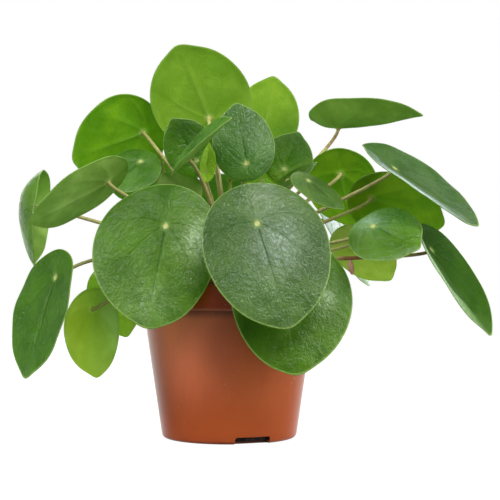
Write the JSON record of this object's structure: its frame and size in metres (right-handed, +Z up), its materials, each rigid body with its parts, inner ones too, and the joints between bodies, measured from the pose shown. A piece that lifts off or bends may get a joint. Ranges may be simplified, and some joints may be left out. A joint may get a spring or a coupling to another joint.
{
  "type": "potted chinese money plant",
  "caption": "Bushy houseplant with round shield-shaped leaves on long stalks, standing in a tapered plastic nursery pot filled with soil.",
  "frame": {"origin": "middle of the pot's flat foot, on the surface that it stands on", "axes": "+Z up, -Y is the front of the plant, +X is its right-hand side as seen from the front"},
  "size_m": [0.3265, 0.2137, 0.27],
  "materials": {
    "pot_plastic": "satin moulded plastic, terracotta coloured, with faint handling scratches",
    "soil": "damp dark peat potting mix, crumbly",
    "stem": "brown woody trunk with smooth olive and reddish-brown stalks",
    "leaf": "smooth fleshy leaf, waxy gloss above and paler and matt below"
  },
  "bodies": {
    "root": {"pot": "pot_plastic", "soil": "soil", "stem": "stem", "leaf_front_middle": "leaf", "leaf_front_left": "leaf", "leaf_front_low": "leaf", "leaf_far_left": "leaf", "leaf_left_hanging": "leaf", "leaf_left_raised": "leaf", "leaf_left_inner": "leaf", "leaf_left_low_small": "leaf", "leaf_left_low_behind": "leaf", "leaf_upper_left_back": "leaf", "leaf_top_back": "leaf", "leaf_top_middle": "leaf", "leaf_top_right": "leaf", "leaf_inner_dark": "leaf", "leaf_edge_on": "leaf", "leaf_young": "leaf", "leaf_middle_upright": "leaf", "leaf_inner_olive": "leaf", "leaf_middle_dark": "leaf", "leaf_middle_behind": "leaf", "leaf_right_shaded": "leaf", "leaf_right_under": "leaf", "leaf_right_large": "leaf", "leaf_right_small": "leaf", "leaf_right_narrow": "leaf", "leaf_right_front": "leaf", "leaf_right_yellow": "leaf", "leaf_right_hanging": "leaf", "leaf_right_silver": "leaf", "leaf_back_top": "leaf", "leaf_back_high_left": "leaf", "leaf_back_middle": "leaf", "leaf_back_low_left": "leaf", "leaf_back_low_middle": "leaf", "leaf_back_low_right": "leaf"}
  },
  "joints": []
}
